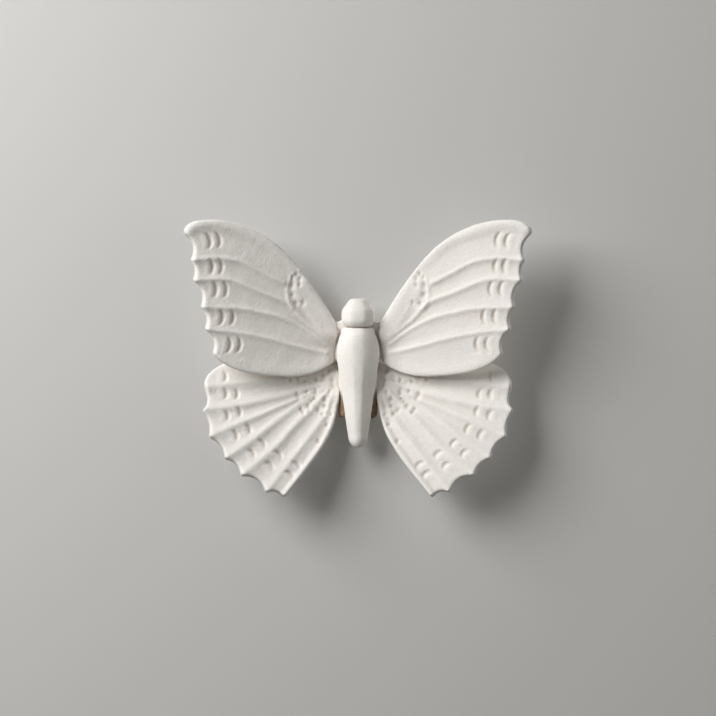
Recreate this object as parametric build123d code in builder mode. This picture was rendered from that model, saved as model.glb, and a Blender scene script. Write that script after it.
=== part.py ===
from build123d import *
import os
from math import cos, radians, sin

# A cast butterfly wall ornament, in millimetres. X points to the viewer's right and Z up. The wall is the
# plane Y = 0 and the butterfly stands in front of it, at Y < 0. The origin is the mouth of the hanging hole.

# Fits between the cast pieces
cement_gap = 0.15  # film of cement left around every tab, peg and seat
socket_wall = 2.0  # cast wall kept between a wing socket and the hole beside it

# Hanging bush, pressed on a pin that stands out of the wall
bush_bore = 4.2
bush_wall = 0.9
bush_length = 6.0

# Saddle, the block that carries body and wings: broad shoulders above, a narrower tail below
shoulder_ledge = 0.45  # how far a shoulder stands out beside the body
shoulder_rise = 8.5  # hanging hole to the top edge
shoulder_drop = 5.6  # hanging hole to the step down to the tail
tail_width = 14.0
tail_length = 18.9
saddle_corner = 0.8
saddle_back_wall = 1.3  # cast wall between the hindwing roots and the house wall
saddle_front_lip = 0.1  # how far the saddle's front stands proud of the forewing roots

# Wings: slabs tilted out of the wall plane, forewings in front of the hindwings
forewing_span = 54.0
forewing_height = 54.0
forewing_thickness = 3.4
forewing_dihedral = 18.0  # tips come forward
forewing_pitch = 3.0  # upper edge comes forward
forewing_root_out = 0.9  # saddle's side to the forewing's reference point
forewing_tab_height = 8.0
forewing_tab_centre = 1.5  # above the hanging hole, along the wing
hindwing_span = 48.5
hindwing_height = 49.0
hindwing_thickness = 3.2
hindwing_dihedral = 11.0
hindwing_pitch = -13.0  # lower tips come forward
hindwing_root_drop = 6.4  # saddle's step to the hindwing's reference point
hindwing_tab_height = 6.0
hindwing_tab_centre = -2.5
wing_lap_gap = 0.4  # free space between the two wings where they overlap at the root
tab_shoulder = 0.7  # how much thinner a tab is than its wing, on each face
wing_edge_round = 0.7  # softens the edge between a wing's margin and its faces
cusp_extra_round = 0.15  # how much blunter than that the cusps of the margin are, seen from the front

# Relief cast on the front of the wings
vein_width = 1.3
vein_height = 0.5
rim_width = 2.2
rim_height = 0.6
lunule_length = 4.8
lunule_bulge = 0.7
lunule_width = 1.5
lunule_depth = 0.5
pit_diameter = 1.3
pit_depth = 0.45

# Body: collar, thorax and tapering abdomen in one piece
body_length = 42.6
body_width = 15.3
body_axis_lift = 0.5  # body's centre line in front of the saddle
body_back_wall = 0.9  # cast wall between the neck hole and the saddle
peg_diameter = 3.0
peg_length = 3.0
lower_peg_rise = 5.0  # saddle's lower end to the lower peg

# Head
head_width = 11.8
head_height = 10.1
head_round = 1.0
head_overlap = 2.2  # how far the head's underside reaches below the saddle's top edge
spigot_diameter = 3.0
spigot_length = 4.0

# Outlines and relief lines, as shares of a wing's span and height. Each stretch runs from one cusp of the
# margin to the next; a wing's margin closes through its root, which the saddle's side cuts off.
forewing_margin = [
    [(-0.03, 0.11), (0.18, 0.425), (0.44, 0.685), (0.78, 0.805), (0.92, 0.80), (0.99, 0.77), (1.012, 0.73),
     (0.995, 0.70)],
    [(0.995, 0.70), (0.95, 0.625), (0.967, 0.545)],
    [(0.967, 0.545), (0.937, 0.483), (0.952, 0.415)],
    [(0.952, 0.415), (0.887, 0.333), (0.897, 0.243)],
    [(0.897, 0.243), (0.855, 0.178), (0.87, 0.098)],
    [(0.87, 0.098), (0.808, 0.032), (0.812, -0.058)],
    [(0.812, -0.058), (0.733, -0.128), (0.573, -0.183), (0.37, -0.205), (0.168, -0.193), (0.052, -0.146),
     (-0.03, -0.09)],
]
forewing_veins = [
    [(0.34, 0.41), (0.50, 0.50), (0.64, 0.55), (0.80, 0.563), (0.93, 0.55)],
    [(0.055, 0.05), (0.215, 0.183), (0.325, 0.296), (0.505, 0.376), (0.725, 0.43), (0.91, 0.415)],
    [(0.06, 0.008), (0.22, 0.10), (0.405, 0.187), (0.595, 0.248), (0.858, 0.248)],
    [(0.055, -0.045), (0.267, 0.004), (0.457, 0.053), (0.674, 0.09), (0.83, 0.093)],
    [(0.255, 0.49), (0.32, 0.41), (0.322, 0.326), (0.283, 0.248)],
]
forewing_rim = [(0.28, 0.48), (0.455, 0.652), (0.78, 0.768), (0.90, 0.765), (0.955, 0.74)]
forewing_lunules = [  # middle of each lunule, and the way its hollow side faces, in degrees
    (0.844, 0.675, -12), (0.78, 0.682, -12), (0.826, 0.51, -8), (0.765, 0.51, -8), (0.80, 0.36, -5),
    (0.731, 0.361, -5), (0.755, 0.179, 0), (0.683, 0.179, 0), (0.703, -0.003, 5), (0.636, -0.002, 5),
]
forewing_pits = [
    (0.254, 0.474), (0.228, 0.437), (0.278, 0.45), (0.228, 0.40), (0.283, 0.396), (0.276, 0.331),
    (0.204, 0.281), (0.25, 0.276),
]
hindwing_margin = [
    [(-0.03, 0.10), (0.05, 0.122), (0.15, 0.135), (0.447, 0.145), (0.744, 0.133), (0.905, 0.08),
     (0.997, -0.035), (0.977, -0.145), (1.022, -0.236)],
    [(1.022, -0.236), (0.966, -0.345), (0.975, -0.432)],
    [(0.975, -0.432), (0.882, -0.507), (0.865, -0.592)],
    [(0.865, -0.592), (0.775, -0.638), (0.75, -0.72)],
    [(0.75, -0.72), (0.627, -0.743), (0.573, -0.847)],
    [(0.573, -0.847), (0.50, -0.83), (0.44, -0.882)],
    [(0.44, -0.882), (0.293, -0.712), (0.144, -0.516), (0.056, -0.347), (0.01, -0.178), (-0.03, -0.08)],
]
hindwing_veins = [
    [(0.07, -0.012), (0.557, -0.022), (0.955, -0.07)],
    [(0.10, -0.04), (0.37, -0.122), (0.693, -0.196), (0.98, -0.235)],
    [(0.10, -0.057), (0.305, -0.157), (0.66, -0.298), (0.935, -0.417)],
    [(0.09, -0.06), (0.41, -0.263), (0.635, -0.439), (0.832, -0.568)],
    [(0.072, -0.082), (0.33, -0.333), (0.482, -0.50), (0.718, -0.687)],
    [(0.054, -0.122), (0.14, -0.308), (0.274, -0.48), (0.548, -0.805)],
]
hindwing_rim = [(0.04, -0.175), (0.085, -0.335), (0.175, -0.495), (0.325, -0.69), (0.44, -0.825)]
hindwing_lunules = [
    (0.833, 0.004, 0), (0.833, -0.12, -4), (0.752, -0.12, -4), (0.828, -0.273, -15), (0.737, -0.247, -15),
    (0.778, -0.401, -25), (0.682, -0.358, -25), (0.655, -0.543, -42), (0.577, -0.47, -42),
    (0.529, -0.63, -50), (0.465, -0.55, -50), (0.388, -0.697, -56), (0.338, -0.628, -56),
]
hindwing_pits = [
    (0.10, 0.022), (0.165, 0.018), (0.242, 0.015), (0.19, -0.045), (0.36, -0.075), (0.24, -0.105),
    (0.07, -0.10), (0.107, -0.167), (0.228, -0.205), (0.153, -0.243), (0.175, -0.45),
]

# Outlines of the turned forms, as (share of the full width, share of the length from the top)
body_contour = [
    (0.33, 0.0), (0.45, 0.04), (0.50, 0.20), (0.44, 0.38), (0.36, 0.57), (0.285, 0.76), (0.22, 0.90),
]
body_tail_contour = [(0.175, 0.965), (0.06, 1.0)]  # from the flank's lower end round to the flat tip
head_contour = [(0.39, 1.0), (0.50, 0.82), (0.50, 0.43), (0.24, 0.0)]

# Sizes that follow from the ones above
bush_diameter = bush_bore + 2 * bush_wall
shoulder_width = body_width + 2 * shoulder_ledge
wing_cusp_round = wing_edge_round + cusp_extra_round
hindwing_root_depth = saddle_back_wall + hindwing_thickness / 2
forewing_root_depth = saddle_back_wall + hindwing_thickness + wing_lap_gap + forewing_thickness / 2
saddle_depth = forewing_root_depth + forewing_thickness / 2 + saddle_front_lip
saddle_bottom = -shoulder_drop - tail_length
hindwing_root_height = -shoulder_drop - hindwing_root_drop
forewing_root_x = shoulder_width / 2 + forewing_root_out
forewing_tab_length = forewing_root_x - bush_diameter / 2 - socket_wall
hindwing_tab_length = tail_width / 2 - peg_diameter / 2 - socket_wall
upper_peg_height = -(bush_diameter / 2 + socket_wall + peg_diameter / 2)
lower_peg_height = saddle_bottom + lower_peg_rise
body_axis = -(saddle_depth + body_axis_lift)
head_bottom = shoulder_rise - head_overlap
body_top = head_bottom - cement_gap
neck_axis = -(saddle_depth + cement_gap + body_back_wall + cement_gap + spigot_diameter / 2)
front_view = Plane(origin=(0, 0, 0), x_dir=(1, 0, 0), z_dir=(0, -1, 0))


def wing_plane(root_x, root_depth, root_height, dihedral, pitch):
    """Middle plane of a right wing: x runs out along the wing, y up along it, z to the viewer."""
    face_on = Plane(origin=(root_x, -root_depth, root_height), x_dir=(1, 0, 0), z_dir=(0, -1, 0))
    return face_on.rotated((pitch, 0, -dihedral), Extrinsic.XYZ)


forewing_plane = wing_plane(forewing_root_x, forewing_root_depth, 0, forewing_dihedral, forewing_pitch)
hindwing_plane = wing_plane(
    tail_width / 2, hindwing_root_depth, hindwing_root_height, hindwing_dihedral, hindwing_pitch
)


def saddle_outline(clearance):
    """Sketch of the saddle seen by the viewer, or of the space that it needs when a clearance is given."""
    with Locations((0, (shoulder_rise - shoulder_drop) / 2)):
        Rectangle(shoulder_width + 2 * clearance, shoulder_rise + shoulder_drop + 2 * clearance)
    with Locations((0, saddle_bottom / 2)):
        Rectangle(tail_width + 2 * clearance, -saddle_bottom + 2 * clearance)


def tab_outline(length, height, centre, clearance):
    """Sketch of a wing's root tab, or of its socket when a clearance is given. The tab runs into the wing."""
    reach = length + clearance
    with Locations((-reach / 2 + tab_shoulder, centre)):
        Rectangle(reach + 2 * tab_shoulder, height + 2 * clearance)


def ridge_outline(points, width):
    """Sketch of a slender ridge along a line of points, with both its sides drawn as smooth curves."""
    sides = ([], [])
    for index, point in enumerate(points):
        run = points[min(index + 1, len(points) - 1)] - points[max(index - 1, 0)]
        across = Vector(-run.Y, run.X).normalized() * (width / 2)
        sides[0].append(point + across)
        sides[1].append(point - across)
    with BuildLine() as outline:
        for side in sides:
            Spline(*side)
        for end in (0, -1):
            Line(sides[0][end], sides[1][end])
    make_face(outline.edges())


def cast_wing(plane, span, height, thickness, margin, veins, rim, lunules, pits, tab):
    """One right wing: a slab with a rounded edge, a root tab, and veins, rim, lunules and pits in relief."""

    def placed(share):
        return (span * share[0], height * share[1])

    with BuildPart() as wing:
        with BuildSketch(plane) as outline:
            with BuildLine():
                for stretch in margin:
                    Spline(*[placed(share) for share in stretch])
                Line(placed(margin[-1][-1]), placed(margin[0][0]))
            make_face()
            fillet(outline.vertices(), radius=wing_cusp_round)
        extrude(amount=thickness / 2, both=True)
        slab_faces = wing.faces().sort_by(Axis(plane.origin, plane.z_dir))
        fillet(slab_faces[0].edges() + slab_faces[-1].edges(), radius=wing_edge_round)
        with BuildSketch(front_view):
            saddle_outline(cement_gap)
        extrude(amount=span, both=True, mode=Mode.SUBTRACT)
        with BuildSketch(plane):
            tab_outline(*tab, clearance=0)
        extrude(amount=thickness / 2 - tab_shoulder, both=True)

        front = plane.offset(thickness / 2)
        for lines, width, rise in ((veins, vein_width, vein_height), ([rim], rim_width, rim_height)):
            with BuildSketch(front):
                for line in lines:
                    ridge_outline([Vector(*placed(share)) for share in line], width)
            extrude(amount=rise)
        with BuildSketch(front):
            for share_x, share_y, facing in lunules:
                along = Vector(cos(radians(facing)), sin(radians(facing)))
                across = Vector(-along.Y, along.X)
                middle = Vector(*placed((share_x, share_y)))
                brim = middle + along * (lunule_width / 2)
                horns = [brim + along * lunule_bulge + across * (side * lunule_length / 2) for side in (-1, 1)]
                with BuildLine():
                    ThreePointArc(horns[0], brim, horns[1])
                    ThreePointArc(horns[1], brim - along * lunule_width, horns[0])
                make_face()
        extrude(amount=-lunule_depth, mode=Mode.SUBTRACT)
        with BuildSketch(front):
            with Locations(*[placed(share) for share in pits]):
                Circle(pit_diameter / 2)
        extrude(amount=-pit_depth, mode=Mode.SUBTRACT)
    return wing.part


forewing_tab = (forewing_tab_length, forewing_tab_height, forewing_tab_centre)
hindwing_tab = (hindwing_tab_length, hindwing_tab_height, hindwing_tab_centre)
right_wings = {
    "forewing": cast_wing(
        forewing_plane, forewing_span, forewing_height, forewing_thickness, forewing_margin, forewing_veins,
        forewing_rim, forewing_lunules, forewing_pits, forewing_tab,
    ),
    "hindwing": cast_wing(
        hindwing_plane, hindwing_span, hindwing_height, hindwing_thickness, hindwing_margin, hindwing_veins,
        hindwing_rim, hindwing_lunules, hindwing_pits, hindwing_tab,
    ),
}


def front_plane(depth):
    """Plane parallel to the wall, at a distance in front of it, seen by the viewer."""
    return front_view.offset(depth)


def seat_on_saddle(top):
    """Sketch of the space that the saddle and its cement film take up, seen by the viewer."""
    bottom = saddle_bottom - cement_gap
    with Locations((0, (top + bottom) / 2)):
        Rectangle(shoulder_width + body_width + head_width, top - bottom)


def body_point(share):
    """Point of the body's outline in millimetres, measured from the middle of its top."""
    return (body_width * share[0], -body_length * share[1])


# Body: turned form, cut flat at the back where it lies on the saddle
with BuildPart() as body:
    with BuildSketch(Plane(origin=(0, body_axis, body_top), x_dir=(1, 0, 0), z_dir=(0, -1, 0))):
        with BuildLine():
            flank = Spline(*[body_point(share) for share in body_contour])
            tail = ThreePointArc(flank @ 1, *[body_point(share) for share in body_tail_contour])
            Polyline(tail @ 1, (0, (tail @ 1).Y), (0, (flank @ 0).Y), flank @ 0)
        make_face()
    revolve(axis=Axis((0, body_axis, 0), (0, 0, 1)))
    with BuildSketch(front_plane(-body_width)):
        seat_on_saddle(body_top + body_width)
    extrude(amount=body_width + saddle_depth + cement_gap, mode=Mode.SUBTRACT)
    with BuildSketch(front_plane(saddle_depth + cement_gap - peg_length)):
        with Locations((0, upper_peg_height), (0, lower_peg_height)):
            Circle(peg_diameter / 2)
    extrude(amount=peg_length + body_axis_lift)
    with BuildSketch(Plane(origin=(0, neck_axis, body_top))):
        Circle(spigot_diameter / 2 + cement_gap)
    extrude(amount=-(spigot_length + cement_gap), mode=Mode.SUBTRACT)

# Head: turned bead with blunt facets, notched at the back to sit over the saddle's top edge
with BuildPart() as head:
    with BuildSketch(Plane(origin=(0, neck_axis, head_bottom), x_dir=(1, 0, 0), z_dir=(0, -1, 0))):
        with BuildLine():
            contour = [(head_width * across, head_height * (1 - down)) for across, down in head_contour]
            Polyline((0, 0), *contour, (0, head_height), close=True)
        make_face()
    revolve(axis=Axis((0, neck_axis, 0), (0, 0, 1)))
    fillet(head.edges().filter_by(GeomType.CIRCLE), radius=head_round)
    with BuildSketch(front_plane(-head_width)):
        seat_on_saddle(shoulder_rise + cement_gap)
    extrude(amount=head_width + saddle_depth + cement_gap, mode=Mode.SUBTRACT)
    with BuildSketch(Plane(origin=(0, neck_axis, head_bottom - spigot_length))):
        Circle(spigot_diameter / 2)
    extrude(amount=spigot_length + head_round)

# Saddle: shoulders and tail in one block, with sockets for the wings, peg holes and the bush's hole
with BuildPart() as saddle:
    with BuildSketch(front_plane(0)) as footprint:
        saddle_outline(clearance=0)
        corners = footprint.vertices().group_by(Axis.Y)
        fillet(corners[0] + corners[-1], radius=saddle_corner)
    extrude(amount=saddle_depth)
    with BuildSketch(front_plane(0)):
        Circle(bush_diameter / 2 + cement_gap)
    extrude(amount=bush_length + cement_gap, mode=Mode.SUBTRACT)
    with BuildSketch(front_plane(saddle_depth)):
        with Locations((0, upper_peg_height), (0, lower_peg_height)):
            Circle(peg_diameter / 2 + cement_gap)
    extrude(amount=-peg_length, mode=Mode.SUBTRACT)
    for plane, thickness, tab in (
        (forewing_plane, forewing_thickness, forewing_tab),
        (hindwing_plane, hindwing_thickness, hindwing_tab),
    ):
        with BuildSketch(plane):
            tab_outline(*tab, clearance=cement_gap)
        sockets = extrude(amount=thickness / 2 - tab_shoulder + cement_gap, both=True, mode=Mode.PRIVATE)
        add(sockets, mode=Mode.SUBTRACT)
        mirror(sockets, about=Plane.YZ, mode=Mode.SUBTRACT)

# Hanging bush: plain metal tube, cemented into the saddle's back
with BuildPart() as hanger_bush:
    with BuildSketch(front_plane(0)):
        Circle(bush_diameter / 2)
        Circle(bush_bore / 2, mode=Mode.SUBTRACT)
    extrude(amount=bush_length)

os.makedirs("parts", exist_ok=True)
for name, piece in (("body", body), ("head", head), ("saddle", saddle), ("hanger_bush", hanger_bush)):
    piece.part.label = name
    export_step(piece.part, "parts/" + name + ".step")
for kind, right_wing in right_wings.items():
    with BuildPart() as left_wing:
        mirror(right_wing, about=Plane.YZ)
    for side, wing in (("right", right_wing), ("left", left_wing.part)):
        wing.label = kind + "_" + side
        export_step(wing, "parts/" + wing.label + ".step")
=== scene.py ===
from math import pi, radians

import bmesh
import bpy
import numpy as np
from mathutils import Matrix, Vector, noise
from mathutils.kdtree import KDTree


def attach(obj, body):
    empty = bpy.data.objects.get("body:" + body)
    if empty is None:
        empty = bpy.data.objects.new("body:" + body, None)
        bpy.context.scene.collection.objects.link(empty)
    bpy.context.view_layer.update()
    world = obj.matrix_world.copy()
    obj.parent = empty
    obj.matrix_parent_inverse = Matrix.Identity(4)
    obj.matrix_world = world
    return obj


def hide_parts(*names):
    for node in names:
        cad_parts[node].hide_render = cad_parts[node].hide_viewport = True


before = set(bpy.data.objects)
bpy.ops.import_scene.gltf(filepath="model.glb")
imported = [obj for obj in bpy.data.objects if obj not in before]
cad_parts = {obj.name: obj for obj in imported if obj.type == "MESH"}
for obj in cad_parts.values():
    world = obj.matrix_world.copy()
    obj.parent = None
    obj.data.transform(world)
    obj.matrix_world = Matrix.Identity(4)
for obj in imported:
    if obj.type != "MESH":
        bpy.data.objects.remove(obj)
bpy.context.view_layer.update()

# Saddle: the block behind the body that holds all four wings, slip-cast in porcelain, fired once, left
# unglazed and rubbed soft at the edges. The cement wiped over its joints stands a little proud, fills the
# shoulders beside the head, and has run down in the gaps by the abdomen, where its brown is partly the
# cement's own tint and partly painted shade for those gaps.
MM = 0.001
SADDLE_GRAIN = 0.3
SADDLE_RUBBING = 16
SADDLE_WAVE = 0.05
CEMENT_WIPING = 6
# Lengths are in millimetres and rubbing is in strokes. Of a pair, the effect fades in from the first to the
# second, counted out from the wall, sideways from the middle line, or up or down from the hanging hole.
FRONT_OUT = (4, 7.5)
BESIDE_BODY = (5.2, 6.5)
VALLEY_DEPTH = 1.2
CEMENT_FILM = 1.2
FILM_UP = (-6, -3)
WEB_UP = (2.5, 6.5)
WEB_FORWARD = 1.1
WEB_INWARD = 1.3
WEB_DROP = 0.3
SHOULDER_UP = (6.5, 8)
HEAD_FILLET = 2.2
HEAD_FILLET_END = 6.7
HEAD_FILLET_WIDTH = 1.1
WING_FILLET = 0.8
WING_FILLET_START = 7.9
WING_FILLET_WIDTH = 0.9
CEMENT_OUT = (0.5, 3)
CEMENT_LUMP = 1.4
CEMENT_RUN = 1.1
RUN_UNEVEN = 1.2
RUN_DOWN = (18, 24)
STAIN_AND_SHADE_DEPTH = 0.95
STAIN_AND_SHADE_UNEVEN = 0.12
STAIN_AND_SHADE_DOWN = (14, 21)


def linear(hex_colour):
    """Turns an sRGB hex colour into the linear colour that a shader socket takes."""
    channels = [int(hex_colour[place:place + 2], 16) / 255 for place in (1, 3, 5)]
    return [c / 12.92 if c <= 0.04045 else ((c + 0.055) / 1.055) ** 2.4 for c in channels] + [1.0]


def add_node(owner, kind, inputs, **settings):
    """Adds a shader node to a material or world. Each input takes a value or another node's output."""
    tree = owner.node_tree
    node = tree.nodes.new("ShaderNode" + kind)
    for name, value in settings.items():
        setattr(node, name, value)
    for name, value in inputs.items():
        if isinstance(value, bpy.types.NodeSocket):
            tree.links.new(value, node.inputs[name])
        else:
            node.inputs[name].default_value = value
    return node


def bare_material(name):
    """A material with no nodes yet."""
    material = bpy.data.materials.new(name)
    material.use_nodes = True
    material.node_tree.nodes.clear()
    return material


def bisque_porcelain():
    """Unglazed porcelain, fired once: dead matt and off-white, with a fine sandy grain from the slip, faint
    cloudy toning, painted warm shade in hollows and in the creases between pieces, the cement's brown made
    darker as painted shade, and paler edges where hands have rubbed it."""
    grain_mm = 0.7  # drawn coarser than the slip's own grain, which is too fine to show
    grain_depth_mm = 0.25
    cloud_mm = 9.0
    crevice_mm = 3.0
    crevice_shade = 0.32
    speck_shade = 0.35
    white, cream = linear("#F4F0EB"), linear("#EAE5DE")
    hollow_shade_tint, rubbed_white = linear("#CFC4B6"), linear("#F8F4EF")
    sand, cement_and_shade_brown = linear("#D8D0C6"), linear("#7A5F45")
    material = bare_material("bisque_porcelain")
    place = add_node(material, "TexCoord", {}).outputs["Object"]
    # A Mix node takes its share at 0 and its two colours at 6 and 7, and gives the mixed colour at 2.
    clouds = add_node(material, "TexNoise", {"Vector": place, "Scale": 1 / (cloud_mm * MM), "Detail": 4.0})
    toned = add_node(material, "Mix", {0: clouds.outputs["Fac"], 6: white, 7: cream}, data_type="RGBA")
    hollow = add_node(material, "Attribute", {}, attribute_name="hollow").outputs["Fac"]
    # Painted shade: hollows found in the shape are tinted a warmer, darker colour.
    hollow_shaded = add_node(material, "Mix", {0: hollow, 6: toned.outputs[2], 7: hollow_shade_tint}, data_type="RGBA")
    rubbed = add_node(material, "Attribute", {}, attribute_name="rubbed").outputs["Fac"]
    worn = add_node(material, "Mix", {0: rubbed, 6: hollow_shaded.outputs[2], 7: rubbed_white}, data_type="RGBA")
    # Painted shade: ambient occlusion darkens creases and the gaps between pieces towards a warm brown.
    open_air = add_node(material, "AmbientOcclusion", {"Distance": crevice_mm * MM}, samples=8)
    painted_crevice_shade = add_node(material, "MapRange", {
        "Value": open_air.outputs["AO"], "From Min": 0.1, "From Max": 0.55,
        "To Min": crevice_shade, "To Max": 0.0,
    })
    # The stain mark: the cement's own brown, made darker as painted shade.
    cement_stain_and_shade = add_node(material, "Attribute", {}, attribute_name="stain_and_shade").outputs["Fac"]
    brown_and_painted_shade = add_node(material, "Math", {0: painted_crevice_shade.outputs[0], 1: cement_stain_and_shade}, operation="MAXIMUM")
    grain = add_node(material, "TexNoise", {
        "Vector": place, "Scale": 1 / (grain_mm * MM), "Detail": 3.0, "Roughness": 0.6,
    }).outputs["Fac"]
    speck = add_node(material, "MapRange", {
        "Value": grain, "From Min": 0.5, "From Max": 0.75, "To Min": 0.0, "To Max": speck_shade,
    })
    sandy = add_node(material, "Mix", {0: speck.outputs[0], 6: worn.outputs[2], 7: sand}, data_type="RGBA")
    stained_and_shaded = add_node(material, "Mix", {0: brown_and_painted_shade.outputs[0], 6: sandy.outputs[2], 7: cement_and_shade_brown},
                       data_type="RGBA")
    relief = add_node(material, "Bump", {"Height": grain, "Strength": 0.8, "Distance": grain_depth_mm * MM})
    matt = add_node(material, "MapRange", {"Value": grain, "To Min": 0.78, "To Max": 0.92})
    shader = add_node(material, "BsdfPrincipled", {
        "Base Color": stained_and_shaded.outputs[2], "Roughness": matt.outputs[0], "IOR": 1.5,
        "Specular IOR Level": 0.3, "Normal": relief.outputs["Normal"],
    })
    add_node(material, "OutputMaterial", {"Surface": shader.outputs["BSDF"]})
    return material


def read_spots(piece):
    """The piece's points in millimetres, and the way its skin faces at each."""
    spots = np.empty(3 * len(piece.data.vertices), np.float32)
    facing = np.empty_like(spots)
    piece.data.vertices.foreach_get("co", spots)
    piece.data.vertices.foreach_get("normal", facing)
    return spots.reshape(-1, 3).astype(float) / MM, facing.reshape(-1, 3).astype(float)


def move_spots(piece, spots):
    """Puts the piece's points where they are given, in millimetres."""
    piece.data.vertices.foreach_set("co", (spots * MM).astype(np.float32).ravel())
    piece.data.update()


def even_skin(piece, grain):
    """Covers a piece with one closed skin of small, even faces, a grain in millimetres wide."""
    skin = piece.modifiers.new("skin", "REMESH")
    skin.mode = "VOXEL"
    skin.voxel_size = grain * MM
    worked = piece.evaluated_get(bpy.context.evaluated_depsgraph_get())
    mesh = bpy.data.meshes.new_from_object(worked)
    piece.modifiers.clear()
    piece.data = mesh


def casting(node, grain, place=Matrix.Identity(4)):
    """A blank with an even skin, cast to the shape of a piece of the frame and laid in the given place."""
    shape = bmesh.new()
    shape.from_mesh(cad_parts[node].data)
    bmesh.ops.remove_doubles(shape, verts=shape.verts, dist=0.001 * MM)
    shape.transform(place.inverted())
    mesh = bpy.data.meshes.new(node)
    shape.to_mesh(mesh)
    shape.free()
    blank = bpy.data.objects.new(node + "_casting", mesh)
    bpy.context.scene.collection.objects.link(blank)
    even_skin(blank, grain)
    return blank


def rub_soft(piece, strokes):
    """Rubs edges and steps soft, as a wet sponge does before firing."""
    shape = bmesh.new()
    shape.from_mesh(piece.data)
    for stroke in range(strokes):
        bmesh.ops.smooth_vert(shape, verts=shape.verts, factor=0.5, use_axis_x=True, use_axis_y=True,
                              use_axis_z=True)
    shape.to_mesh(piece.data)
    shape.free()


def soft_step(values, low, high):
    """Rises smoothly from 0 at low to 1 at high."""
    share = np.clip((values - low) / (high - low), 0, 1)
    return share * share * (3 - 2 * share)


def hand_finish(piece, depth):
    """Leaves the slight waviness of hand work, in millimetres, and marks hollows and rubbed edges."""
    wave_mm = 5.0
    ripple_mm = 1.7
    ripple_share = 0.4
    plain_rubbing = 14
    hollow_mm = 0.22
    rubbed_mm = 0.30
    strongest_mark = 0.6
    spots, facing = read_spots(piece)
    wander = [noise.noise(Vector(s) / wave_mm) + ripple_share * noise.noise(Vector(s) / ripple_mm)
              for s in spots]
    move_spots(piece, spots + facing * (depth * np.array(wander))[:, None])
    spots, facing = read_spots(piece)
    plain = piece.copy()
    plain.data = piece.data.copy()
    rub_soft(plain, plain_rubbing)
    sunk = ((read_spots(plain)[0] - spots) * facing).sum(axis=1)
    bpy.data.meshes.remove(plain.data)
    # The hollow mark is used to paint shade into hollows. The rubbed mark pales the edges.
    for name, share in (("hollow", sunk / hollow_mm), ("rubbed", -sunk / rubbed_mm)):
        mark = piece.data.attributes.new(name, "FLOAT", "POINT")
        mark.data.foreach_set("value", np.clip(share, 0, strongest_mark).astype(np.float32))
    piece.data.shade_smooth()


bisque = bisque_porcelain()
saddle = casting("saddle", SADDLE_GRAIN)
rub_soft(saddle, SADDLE_RUBBING)
saddle_spots, saddle_facing = read_spots(saddle)
side = abs(saddle_spots[:, 0])
off_wall = -saddle_spots[:, 1]
rise = saddle_spots[:, 2].copy()
front = soft_step(off_wall, *FRONT_OUT)
cement_front = soft_step(off_wall, *CEMENT_OUT)
outer = soft_step(side, *BESIDE_BODY)
web = soft_step(rise, *WEB_UP)
fillet = HEAD_FILLET * np.clip((HEAD_FILLET_END - side) / HEAD_FILLET_WIDTH, 0, 1) ** 2
fillet += WING_FILLET * np.clip((side - WING_FILLET_START) / WING_FILLET_WIDTH, 0, 1) ** 2 - WEB_DROP
film = CEMENT_FILM * np.clip(off_wall, 0, 1) * soft_step(rise, *FILM_UP)
lumps = np.array([noise.noise(Vector(s) / CEMENT_LUMP) for s in saddle_spots])
run = CEMENT_RUN * (1 + RUN_UNEVEN * lumps * cement_front) * soft_step(-rise, *RUN_DOWN)
across = np.sign(saddle_spots[:, 0])
inner = np.clip(-across * saddle_facing[:, 0], 0, 1)
saddle_spots[:, 0] += film * saddle_facing[:, 0] * (1 - inner) - WEB_INWARD * front * web * inner * across
saddle_spots[:, 1] += front * (VALLEY_DEPTH * outer * (1 - web) - WEB_FORWARD * web)
saddle_spots[:, 2] += front * outer * soft_step(rise, *SHOULDER_UP) * fillet - run
move_spots(saddle, saddle_spots)
rub_soft(saddle, CEMENT_WIPING)
# Brown on the cement run, at the front only: partly the cement's tint, partly painted shade of the gaps.
stain_and_shade = saddle.data.attributes.new("stain_and_shade", "FLOAT", "POINT")
browned_and_shaded = np.clip(STAIN_AND_SHADE_DEPTH + STAIN_AND_SHADE_UNEVEN * lumps, 0, 1) * soft_step(-rise, *STAIN_AND_SHADE_DOWN) * cement_front
stain_and_shade.data.foreach_set("value", browned_and_shaded.astype(np.float32))
hand_finish(saddle, SADDLE_WAVE)
saddle.data.materials.append(bisque)
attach(saddle, "root")
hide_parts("saddle")

# Hanging bush: a plain turned brass tube, cemented into the saddle's back, that slides on a pin in the
# wall. It keeps its bare metal, dulled by handling.


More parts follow.
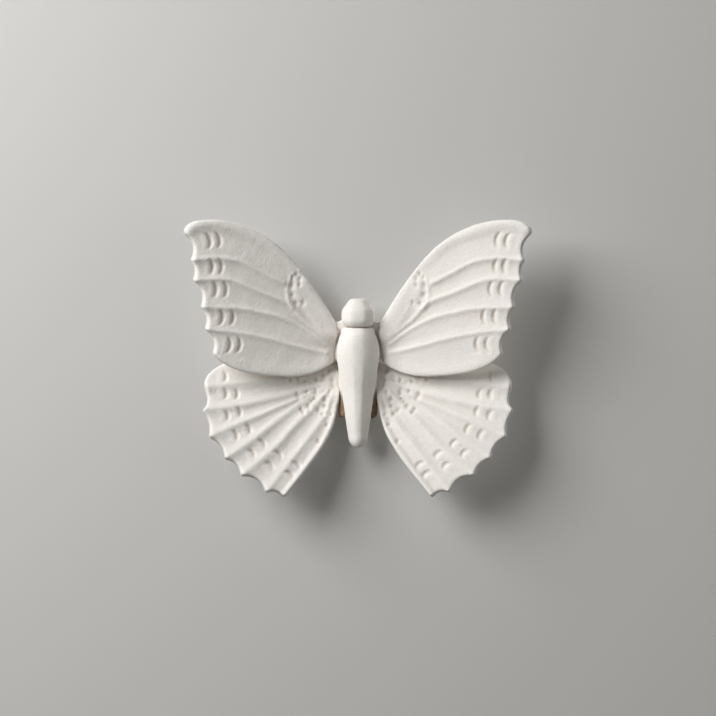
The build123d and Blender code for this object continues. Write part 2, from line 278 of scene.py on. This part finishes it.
def dull_brass():
    """Turned brass that has been handled: warm yellow metal with fine lathe rings and darker spots."""
    ring_mm = 0.35  # drawn coarser than a lathe leaves its rings, which are too fine to show
    ring_depth_mm = 0.02
    spot_mm = 1.6
    wave_turn = 20  # radians that a wave texture turns over each unit of its scale
    bright, dark = linear("#C9A35A"), linear("#8F6F38")
    material = bare_material("dull_turned_brass")
    place = add_node(material, "TexCoord", {}).outputs["Object"]
    spots = add_node(material, "TexNoise", {"Vector": place, "Scale": 1 / (spot_mm * MM), "Detail": 3.0})
    metal = add_node(material, "Mix", {0: spots.outputs["Fac"], 6: bright, 7: dark}, data_type="RGBA")
    rings = add_node(material, "TexWave", {"Vector": place, "Scale": 2 * pi / (wave_turn * ring_mm * MM)},
                     wave_type="BANDS", bands_direction="Y")
    turned = add_node(material, "Bump", {
        "Height": rings.outputs["Fac"], "Strength": 0.2, "Distance": ring_depth_mm * MM,
    })
    dulled = add_node(material, "MapRange", {"Value": spots.outputs["Fac"], "To Min": 0.28, "To Max": 0.5})
    shader = add_node(material, "BsdfPrincipled", {
        "Base Color": metal.outputs[2], "Metallic": 1.0, "Roughness": dulled.outputs[0],
        "Normal": turned.outputs["Normal"],
    })
    add_node(material, "OutputMaterial", {"Surface": shader.outputs["BSDF"]})
    return material


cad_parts["hanger_bush"].data.materials.clear()
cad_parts["hanger_bush"].data.materials.append(dull_brass())

# Hindwings: two thin slabs of the same porcelain, pressed in a mould that gives the veins, the crescent
# marks and the dimples near the root in low relief. A tab at the root is cemented into the saddle's side.
WING_GRAIN = 0.25
WING_RUBBING = 8
RELIEF_RUBBING = 1
WING_WAVE = 0.09
EDGE_ROUND = 0.8
ROOT_REACH = 1.0


def drawn_line(points, steps=10):
    """Close points along the smooth line that a modelling tool follows through the given points."""
    ends = np.array([points[0], *points, points[-1]], float)
    t = np.linspace(0, 1, steps, endpoint=False)[:, None]
    runs = [
        b + (c - a) * t / 2 + (2 * a - 5 * b + 4 * c - d) * t ** 2 / 2
        + (3 * b - a - 3 * c + d) * t ** 3 / 2
        for a, b, c, d in zip(ends, ends[1:], ends[2:], ends[3:])
    ]
    return np.vstack([*runs, ends[-1:]])


def away_from(spots, line):
    """How far each spot lies from a drawn line, in millimetres, and how far along it, from 0 to 1."""
    nearest = np.full(len(spots), np.inf)
    along = np.zeros(len(spots))
    for step, (start, end) in enumerate(zip(line, line[1:])):
        run = end - start
        share = np.clip((spots - start) @ run / (run @ run), 0, 1)
        distance = np.hypot(*(spots - start - share[:, None] * run).T)
        closer = distance < nearest
        nearest[closer] = distance[closer]
        along[closer] = (step + share[closer]) / (len(line) - 1)
    return nearest, along


def soft_highest(one, other, blend=0.3):
    """The higher of two surfaces, with a soft crease where they cross."""
    return (one + other + np.sqrt((one - other) ** 2 + blend ** 2)) / 2


def panel_relief(spots, veins, height, cord, cord_width, lobe):
    """Height of hollow panels between raised veins. Each vein ends in a rounded lobe at the margin."""
    full_width = 6
    hollowing = 1.2
    lobe_radius = 1.8
    apart = np.sort([away_from(spots, drawn_line(vein))[0] for vein in veins], axis=0)
    width = apart[0] + apart[1]
    slope = (1 - soft_step(apart[0] / width, 0, 0.5)) ** hollowing
    rise = height * np.clip(width / full_width, 0, 1) * slope + cord * np.exp(-(apart[0] / cord_width) ** 2)
    for vein in veins:
        rise += lobe * np.exp(-(np.hypot(*(spots - vein[-1]).T) / lobe_radius) ** 2)
    return rise


def rim_relief(spots, line, height, width):
    """Height of a soft rim along a line. It swells from nothing over its first stretch."""
    first_stretch = (-0.1, 0.25)
    distance, along = away_from(spots, drawn_line(line))
    return height * soft_step(along, *first_stretch) * np.exp(-(distance / width) ** 2)


def crescent_relief(spots, middle, facing, length, width, depth):
    """Depth of one crescent mark: a smooth groove that bulges towards the root, with a low lip outside."""
    groove_out = 0.25
    bulge = 0.19
    bulge_middle = 0.7
    lip_out = 0.85
    lip_width = 0.4
    lip_height = 0.25
    turn = radians(facing)
    outward = np.array((np.cos(turn), np.sin(turn)))
    across = np.array((-outward[1], outward[0]))
    shift = spots - np.array(middle)
    end = np.clip(1 - (2 * (shift @ across) / length) ** 2, 0, 1)
    out = shift @ outward - groove_out * width + bulge * length * (end - bulge_middle)
    groove = np.cos(np.pi * np.clip(out / width, -0.5, 0.5)) ** 2 * end
    lip = np.exp(-((out - lip_out * width) / (lip_width * width)) ** 2) * end
    return depth * (lip_height * lip - groove)


def dimple_relief(spots, middle, radius, depth):
    """Depth of one dimple, pressed with a blunt point and a little longer than wide."""
    stretch = (1, 1.3)
    distance = np.hypot(*((spots - np.array(middle)) / stretch).T)
    return -depth * np.exp(-(distance / radius) ** 2)


def wing_blank(kind, place, thickness):
    """A bare right wing lying flat: the frame's wing with a plain front and the front's edge rounded."""
    steep = 0.4
    between_faces = 0.9
    relief_depth = 0.65
    relief_inset = 1.0
    wing = casting(kind + "_right", WING_GRAIN, place)
    spots, facing = read_spots(wing)
    half = thickness / 2
    wall = (abs(facing[:, 2]) < steep) & (abs(spots[:, 2]) < half - between_faces)
    wall = np.flatnonzero(wall & (spots[:, 0] > ROOT_REACH))
    margin = KDTree(len(wall))
    for index in wall:
        margin.insert((spots[index, 0], spots[index, 1], 0), index)
    margin.balance()
    inset = np.array([margin.find((x, y, 0))[2] for x, y, z in spots])
    into_round = EDGE_ROUND - np.clip(inset, 0, EDGE_ROUND)
    crown = half - EDGE_ROUND + np.sqrt(EDGE_ROUND ** 2 - into_round ** 2)
    sunken = (spots[:, 2] > half - relief_depth) & (inset > relief_inset)
    spots[:, 2] = np.where(sunken, crown, np.minimum(spots[:, 2], crown))
    move_spots(wing, spots)
    even_skin(wing, WING_GRAIN)
    rub_soft(wing, WING_RUBBING)
    return wing


def press_wing(kind, root, dihedral, pitch, thickness, relief):
    """Presses the relief into both wings of a kind. The left one is the right one's mirror image."""
    lift = Matrix.Rotation(-radians(dihedral), 4, "Z") @ Matrix.Rotation(radians(90 + pitch), 4, "X")
    place = Matrix.Translation(Vector(root) * MM) @ lift
    right = wing_blank(kind, place, thickness)
    spots = read_spots(right)[0]
    front_from, front_to = -0.1 * thickness, 0.35 * thickness
    front_half = soft_step(spots[:, 2], front_from, front_to)
    spots[:, 2] += front_half * relief(spots[:, :2])
    move_spots(right, spots)
    rub_soft(right, RELIEF_RUBBING)
    left = right.copy()
    left.data = right.data.copy()
    left.name = kind + "_left_casting"
    bpy.context.scene.collection.objects.link(left)
    right.data.transform(place)
    left.data.transform(Matrix.Scale(-1, 4, (1, 0, 0)) @ place)
    left.data.flip_normals()
    for wing, side in ((right, "right"), (left, "left")):
        hand_finish(wing, WING_WAVE)
        wing.data.materials.append(bisque)
        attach(wing, "root")
        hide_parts(kind + "_" + side)


def hindwing_relief(spots):
    """Height of the hindwing's relief over its flat front, in millimetres."""
    size = np.array((48.5, 49.0))
    veins = [
        [(0.07, -0.012), (0.557, -0.022), (0.98, -0.07)],
        [(0.10, -0.04), (0.37, -0.122), (0.693, -0.196), (1.015, -0.236)],
        [(0.10, -0.057), (0.305, -0.157), (0.66, -0.298), (0.968, -0.43)],
        [(0.09, -0.06), (0.41, -0.263), (0.635, -0.439), (0.86, -0.59)],
        [(0.072, -0.082), (0.33, -0.333), (0.482, -0.50), (0.745, -0.716)],
        [(0.054, -0.122), (0.14, -0.308), (0.274, -0.48), (0.57, -0.84)],
    ]
    inner_rim = [
        (0.0, -0.10), (0.028, -0.178), (0.074, -0.345), (0.162, -0.51), (0.31, -0.70), (0.44, -0.86),
    ]
    # Each crescent: its middle, and the angle that its outer side faces.
    crescents = [
        (0.833, 0.004, 0), (0.833, -0.12, -4), (0.752, -0.12, -4), (0.828, -0.273, -15),
        (0.737, -0.247, -15), (0.768, -0.413, -25), (0.672, -0.37, -25), (0.655, -0.543, -42),
        (0.577, -0.47, -42), (0.529, -0.63, -50), (0.465, -0.55, -50), (0.388, -0.697, -56),
        (0.338, -0.628, -56),
    ]
    # Each dimple: its middle, and its radius in millimetres.
    dimples = [
        (0.08, 0.036, 0.7), (0.127, -0.007, 1.0), (0.064, -0.024, 0.9), (0.18, -0.024, 0.65),
        (0.263, -0.029, 0.7), (0.318, -0.01, 0.8), (0.37, -0.02, 0.7), (0.057, -0.073, 0.9),
        (0.18, -0.10, 0.7), (0.182, -0.125, 0.7), (0.194, -0.16, 0.5), (0.246, -0.107, 0.6),
        (0.306, -0.148, 0.9), (0.323, -0.123, 0.7), (0.084, -0.113, 0.65), (0.117, -0.167, 0.8),
        (0.117, -0.217, 0.6), (0.212, -0.178, 0.5), (0.237, -0.215, 0.9), (0.167, -0.247, 0.7),
        (0.139, -0.273, 0.7), (0.293, -0.238, 0.6), (0.279, -0.26, 0.6), (0.072, -0.282, 0.5),
        (0.107, -0.355, 0.6), (0.175, -0.475, 0.7),
    ]
    # Pairs are counted out, up or down from the wing's root.
    mound_height = 1.5
    mound_out, mound_up, mound_down = (3, 11), (-12, -6), (-4, -0.5)
    pitting = 0.16
    pit_mm = 1.5
    pitted_out = (12, 19)
    rise = panel_relief(spots, [np.array(vein) * size for vein in veins],
                        height=0.75, cord=0.15, cord_width=1.0, lobe=0.3)
    rise = soft_highest(rise, rim_relief(spots, np.array(inner_rim) * size, height=1.2, width=1.5))
    for x, y, facing in crescents:
        rise += crescent_relief(spots, np.array((x, y)) * size, facing, length=4.4, width=2.4, depth=0.6)
    for x, y, radius in dimples:
        rise += dimple_relief(spots, np.array((x, y)) * size, radius, depth=0.6)
    mound = soft_step(-spots[:, 1], *mound_down) * soft_step(spots[:, 1], *mound_up)
    rise += mound_height * (1 - soft_step(spots[:, 0], *mound_out)) * mound
    pitted = 1 - soft_step(np.hypot(spots[:, 0], spots[:, 1]), *pitted_out)
    rise += pitting * pitted * np.array([noise.noise((x / pit_mm, y / pit_mm, 0)) for x, y in spots])
    return rise


press_wing("hindwing", root=(7.0, -2.9, -12.0), dihedral=11.0, pitch=-13.0, thickness=3.2,
           relief=hindwing_relief)

# Forewings: two larger slabs of the same porcelain, pressed in their own mould and cemented into the saddle
# in front of the hindwings. A rolled rim runs along the leading edge to the tip, and the cell near the root
# stands a little higher than the panels between the veins.


def forewing_relief(spots):
    """Height of the forewing's relief over its flat front, in millimetres."""
    size = np.array((54.0, 54.0))
    veins = [
        [(0.355, 0.405), (0.50, 0.475), (0.64, 0.54), (0.80, 0.56), (0.96, 0.546)],
        [(0.055, 0.045), (0.215, 0.166), (0.325, 0.275), (0.505, 0.343), (0.725, 0.422), (0.945, 0.415)],
        [(0.06, 0.01), (0.22, 0.115), (0.36, 0.178), (0.51, 0.213), (0.64, 0.236), (0.89, 0.243)],
        [(0.055, -0.05), (0.267, -0.006), (0.457, 0.043), (0.674, 0.082), (0.865, 0.098)],
    ]
    cell = [(0.05, 0.09), (0.14, 0.23), (0.23, 0.37)]
    cell_arc = [(0.25, 0.49), (0.302, 0.45), (0.326, 0.37), (0.322, 0.295), (0.295, 0.24)]
    leading_rim = [(0.25, 0.475), (0.453, 0.66), (0.782, 0.774), (0.917, 0.772), (0.975, 0.742)]
    trailing_edge = [(0.79, -0.07), (0.573, -0.165), (0.37, -0.19), (0.168, -0.178), (0.06, -0.13)]
    crescents = [
        (0.844, 0.675, -12), (0.78, 0.682, -12), (0.826, 0.51, -8), (0.765, 0.51, -8), (0.80, 0.36, -5),
        (0.731, 0.361, -5), (0.755, 0.179, 0), (0.683, 0.179, 0), (0.703, -0.003, 5), (0.636, -0.002, 5),
    ]
    dimples = [
        (0.269, 0.467, 0.75), (0.295, 0.445, 0.65), (0.244, 0.433, 0.75), (0.247, 0.396, 0.7),
        (0.299, 0.39, 1.0), (0.292, 0.327, 0.75), (0.22, 0.277, 0.75), (0.27, 0.27, 0.75),
    ]
    cell_height = 0.75
    cell_edge = (1.5, 5.5)
    arc_height, arc_width = 0.32, 0.75
    dip_depth, dip_width, dip_middle = 0.8, 2.4, -0.8
    dip_down = (-5, 3)
    swelling, swelling_width = 1.2, 8
    swelling_up = (-1, 5)
    rise = panel_relief(spots, [np.array(vein) * size for vein in veins],
                        height=0.6, cord=0.35, cord_width=0.9, lobe=0.4)
    middle = away_from(spots, drawn_line(np.array(cell) * size))[0]
    rise = soft_highest(rise, cell_height * (1 - soft_step(middle, *cell_edge)))
    arc = away_from(spots, drawn_line(np.array(cell_arc) * size))[0]
    rise += arc_height * np.exp(-(arc / arc_width) ** 2)
    rise = soft_highest(rise, rim_relief(spots, np.array(leading_rim) * size, height=0.9, width=2.5))
    rise += rim_relief(spots, np.array(trailing_edge) * size, height=0.6, width=3.2)
    dip = dip_depth * soft_step(-spots[:, 1], *dip_down)
    rise -= dip * np.exp(-((spots[:, 0] - dip_middle) / dip_width) ** 2)
    swollen = swelling * soft_step(spots[:, 1], *swelling_up)
    rise += swollen * np.exp(-(spots[:, 0] / swelling_width) ** 2)
    for x, y, facing in crescents:
        rise += crescent_relief(spots, np.array((x, y)) * size, facing, length=6.2, width=2.2, depth=0.7)
    for x, y, radius in dimples:
        rise += dimple_relief(spots, np.array((x, y)) * size, radius, depth=0.5)
    return rise


press_wing("forewing", root=(9.0, -6.6, 0.0), dihedral=18.0, pitch=3.0, thickness=3.4,
           relief=forewing_relief)

# Body: collar, thorax and abdomen in one porcelain casting, flat at the back where it is cemented and
# pegged to the saddle. Towards the tail its front is pared to three flat faces with soft edges between.
BODY_GRAIN = 0.25
BODY_RUBBING = 14
BODY_LAST_RUBBING = 24
BODY_WAVE = 0.06
BODY_AXIS = -8.9
FRONT_FACE = radians(14)
FACE_END = radians(80)
TOP_PARING = 0.2
TAIL_PARING = 0.6
PARING_DOWN = (2, 22)
COLLAR_GROOVE = 4.6
GROOVE_DEPTH = 0.15
GROOVE_WIDTH = 0.5
SLIP_COAT = 0.2
THORAX_TAPER = 0.17
TAPER_UP = (-4, 5)
COLLAR_SWELL = 0.16
COLLAR_UP = (3.8, 5.8)


def around_axis(spots, axis):
    """How far each spot is turned from the front about an upright axis, and the way out from that axis."""
    turn = np.arctan2(spots[:, 0], axis - spots[:, 1])
    return turn, np.stack((np.sin(turn), -np.cos(turn), np.zeros(len(spots))), axis=1)


body = casting("body", BODY_GRAIN)
rub_soft(body, BODY_RUBBING)
body_spots, body_facing = read_spots(body)
turn, outward = around_axis(body_spots, BODY_AXIS)
reach = np.hypot(body_spots[:, 0], body_spots[:, 1] - BODY_AXIS)
side_middle = (FRONT_FACE + FACE_END) / 2
side_cut = np.cos(FACE_END - side_middle)
side_face = side_cut / np.cos(abs(turn) - side_middle)
front_face = np.cos(FRONT_FACE) / np.cos(turn)
face = np.where(abs(turn) < FRONT_FACE, front_face, np.where(abs(turn) < FACE_END, side_face, 1))
paring = TOP_PARING + TAIL_PARING * soft_step(-body_spots[:, 2], *PARING_DOWN)
pared = paring * (1 - face) * reach
groove = np.exp(-((body_spots[:, 2] - COLLAR_GROOVE) / GROOVE_WIDTH) ** 2)
inward = pared + GROOVE_DEPTH * groove
body_spots += SLIP_COAT * body_facing - inward[:, None] * outward
height = body_spots[:, 2]
taper = THORAX_TAPER * soft_step(height, *TAPER_UP)
body_spots[:, 0] *= 1 - taper + COLLAR_SWELL * soft_step(height, *COLLAR_UP)
move_spots(body, body_spots)
rub_soft(body, BODY_LAST_RUBBING)
hand_finish(body, BODY_WAVE)
body.data.materials.append(bisque)
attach(body, "root")
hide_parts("body")

# Head: a small porcelain bead pared to eight flat sides and rubbed soft between them. A spigot below it is
# cemented into the neck.
HEAD_GRAIN = 0.2
HEAD_RUBBING = 40
HEAD_LAST_RUBBING = 24
HEAD_WAVE = 0.04
HEAD_AXIS = -11.1
FACET = radians(45)
FACET_PARING = 0.4

head = casting("head", HEAD_GRAIN)
rub_soft(head, HEAD_RUBBING)
head_spots = read_spots(head)[0]
turn, outward = around_axis(head_spots, HEAD_AXIS)
from_middle = (turn + FACET / 2) % FACET - FACET / 2
reach = np.hypot(head_spots[:, 0], head_spots[:, 1] - HEAD_AXIS)
ridge = FACET_PARING * (1 / np.cos(from_middle) - 1) * reach
move_spots(head, head_spots + ridge[:, None] * outward)
rub_soft(head, HEAD_LAST_RUBBING)
hand_finish(head, HEAD_WAVE)
head.data.materials.append(bisque)
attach(head, "root")
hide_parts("head")

# Stage: a plain pale wall just behind the ornament and a pale floor below the picture. One large soft lamp
# stands at the upper left and a weak one at the right, one behind the wall lights the back, and a little
# light comes from all round.
WALL_GAP = 0.5  # in millimetres: the other lengths of the stage and the camera are in metres
FLOOR_HEIGHT = -0.3
STAGE_WIDTH = 6.0
ROOM_LIGHT = 0.11
ROOM_SEEN = 0.7


def pale_paint(name, colour, shaded_colour, glow, one_sided):
    """Flat pale paint. It is pale to the eye and darker to bounced light, so the ornament keeps its shade.
    One-sided paint can't be seen from behind and holds no lamp's light back."""
    material = bare_material(name)
    rays = add_node(material, "LightPath", {}).outputs
    seen = add_node(material, "Math", {0: rays["Is Camera Ray"], 1: rays["Is Glossy Ray"]},
                    operation="MAXIMUM").outputs[0]
    paint = add_node(material, "Mix", {0: seen, 6: linear(shaded_colour), 7: linear(colour)},
                     data_type="RGBA")
    matt = add_node(material, "BsdfDiffuse", {"Color": paint.outputs[2]})
    lift = add_node(material, "Math", {0: seen, 1: glow}, operation="MULTIPLY")
    shine = add_node(material, "Emission", {"Color": linear(colour), "Strength": lift.outputs[0]})
    surface = add_node(material, "AddShader", {0: matt.outputs[0], 1: shine.outputs[0]})
    if one_sided:
        behind = add_node(material, "NewGeometry", {}).outputs["Backfacing"]
        clear = add_node(material, "Math", {0: behind, 1: rays["Is Shadow Ray"]}, operation="MAXIMUM")
        glass = add_node(material, "BsdfTransparent", {})
        surface = add_node(material, "MixShader", {
            0: clear.outputs[0], 1: surface.outputs[0], 2: glass.outputs[0],
        })
    add_node(material, "OutputMaterial", {"Surface": surface.outputs[0]})
    return material


def stage_plane(name, place, material):
    """A square sheet of the stage, laid in its place."""
    shape = bmesh.new()
    bmesh.ops.create_grid(shape, x_segments=1, y_segments=1, size=STAGE_WIDTH / 2)
    shape.transform(place)
    mesh = bpy.data.meshes.new(name)
    shape.to_mesh(mesh)
    shape.free()
    sheet = bpy.data.objects.new(name, mesh)
    sheet.data.materials.append(material)
    bpy.context.scene.collection.objects.link(sheet)


upright = Matrix.Translation((0, WALL_GAP * MM, 0)) @ Matrix.Rotation(radians(90), 4, "X")
stage_plane("wall", upright,
            pale_paint("pale_wall_paint", "#C9C8C5", "#6E6D6B", glow=0.0, one_sided=True))
stage_plane("floor", Matrix.Translation((0, 0, FLOOR_HEIGHT)),
            pale_paint("pale_floor_paint", "#D8D7D4", "#8A8986", glow=0.5, one_sided=False))


def soft_lamp(name, place, size, power):
    """A square soft lamp that faces the ornament."""
    lamp = bpy.data.lights.new(name, "AREA")
    lamp.size = size
    lamp.energy = power
    holder = bpy.data.objects.new(name, lamp)
    aim = (-Vector(place)).to_track_quat("-Z", "Y").to_matrix().to_4x4()
    holder.matrix_world = Matrix.Translation(place) @ aim
    bpy.context.scene.collection.objects.link(holder)


soft_lamp("key_lamp", place=(-0.48, -0.42, 0.34), size=0.45, power=6.0)
soft_lamp("fill_lamp", place=(0.60, -0.45, 0.05), size=0.6, power=0.6)
soft_lamp("back_lamp", place=(0.5, 0.9, 0.5), size=0.8, power=9.0)

world = bpy.data.worlds.new("soft_room")
bpy.context.scene.world = world
world.use_nodes = True
world.node_tree.nodes.clear()
rays = add_node(world, "LightPath", {}).outputs
seen = add_node(world, "Math", {0: rays["Is Camera Ray"], 1: rays["Is Glossy Ray"]}, operation="MAXIMUM")
glow = add_node(world, "MapRange", {"Value": seen.outputs[0], "To Min": ROOM_LIGHT, "To Max": ROOM_SEEN})
room = add_node(world, "Background", {"Color": linear("#FFFFFF"), "Strength": glow.outputs[0]})
add_node(world, "OutputWorld", {"Surface": room.outputs[0]})

# Camera: square to the wall, level with the middle of the ornament and about an arm's length away, with the
# narrow view that gives the photograph's frame.
CAMERA_DISTANCE = 0.7
CAMERA_HEIGHT = -0.0047
camera = bpy.data.objects.new("camera", bpy.data.cameras.new("camera"))
camera.data.sensor_width = 36.0
camera.data.lens = 97.7
level = Matrix.Rotation(radians(90), 4, "X")
camera.matrix_world = Matrix.Translation((0, -CAMERA_DISTANCE, CAMERA_HEIGHT)) @ level
bpy.context.scene.collection.objects.link(camera)
bpy.context.scene.camera = camera
bpy.context.scene.view_settings.view_transform = "Standard"
